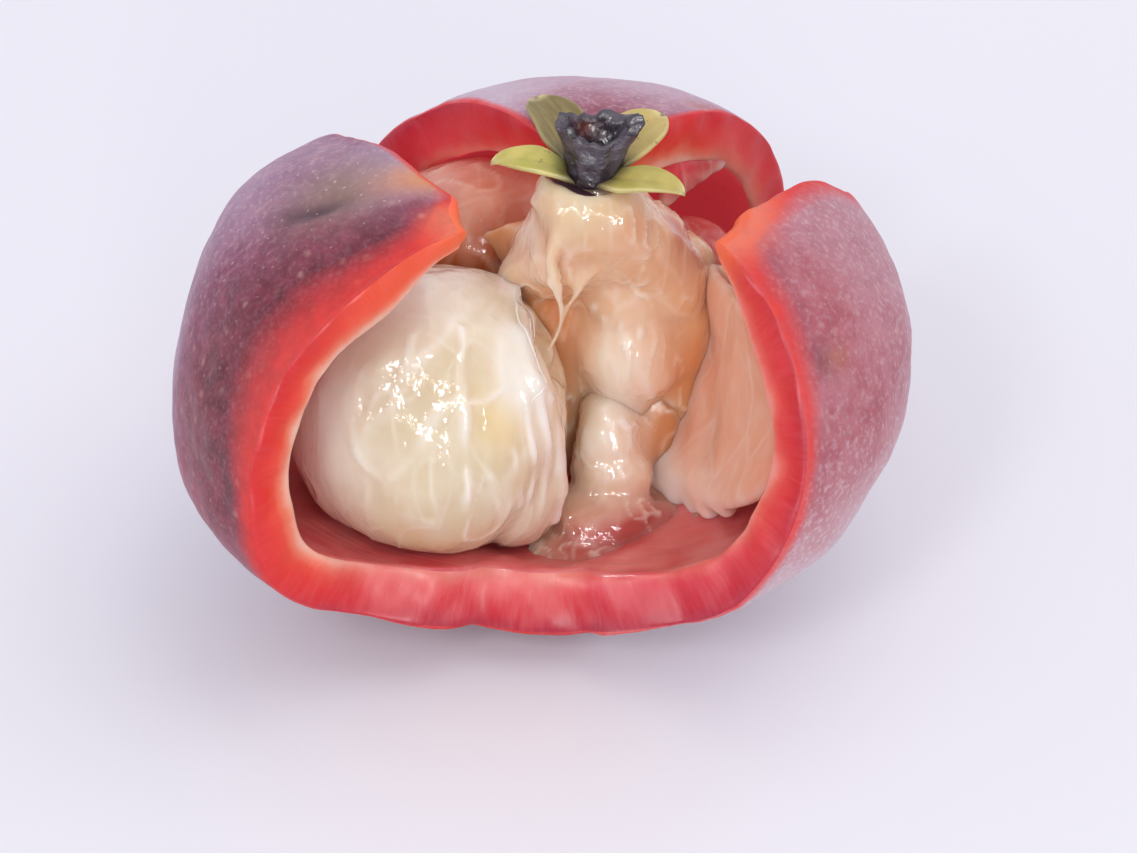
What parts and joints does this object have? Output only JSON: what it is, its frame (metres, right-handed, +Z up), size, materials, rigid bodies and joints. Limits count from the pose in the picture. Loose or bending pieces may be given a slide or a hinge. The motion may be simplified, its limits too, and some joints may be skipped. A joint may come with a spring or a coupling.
{
  "type": "opened kokum fruit",
  "caption": "Opened kokum fruit: a thick purple-red rind cut into splayed flaps around wet cream pulp segments, with a green calyx and a broken stem on top.",
  "frame": {"origin": "middle of the flat spot that the fruit rests on", "axes": "+Z up through the stem end, -Y out of the cut front opening, -X toward the left flap"},
  "size_m": [0.0511, 0.0415, 0.0383],
  "materials": {
    "rind": "waxy purple-red skin with pale specks over crimson flesh",
    "pulp": "wet translucent cream pulp",
    "amber_pulp": "wet translucent salmon and amber pulp",
    "core": "wet peach fibres and folds",
    "calyx": "matt olive and lime green with brown specks",
    "stem": "dark charred bark, broken and damp"
  },
  "bodies": {
    "root": {"rind": "rind", "seed_front_left": "pulp", "seed_right": "pulp", "pulp_right": "pulp", "seed_back_left": "amber_pulp", "seed_back": "amber_pulp", "seed_back_right": "amber_pulp", "core": "core", "sepal_front_left": "calyx", "sepal_front_right": "calyx", "sepal_back_left": "calyx", "sepal_back_right": "calyx", "stem": "stem"}
  },
  "joints": []
}
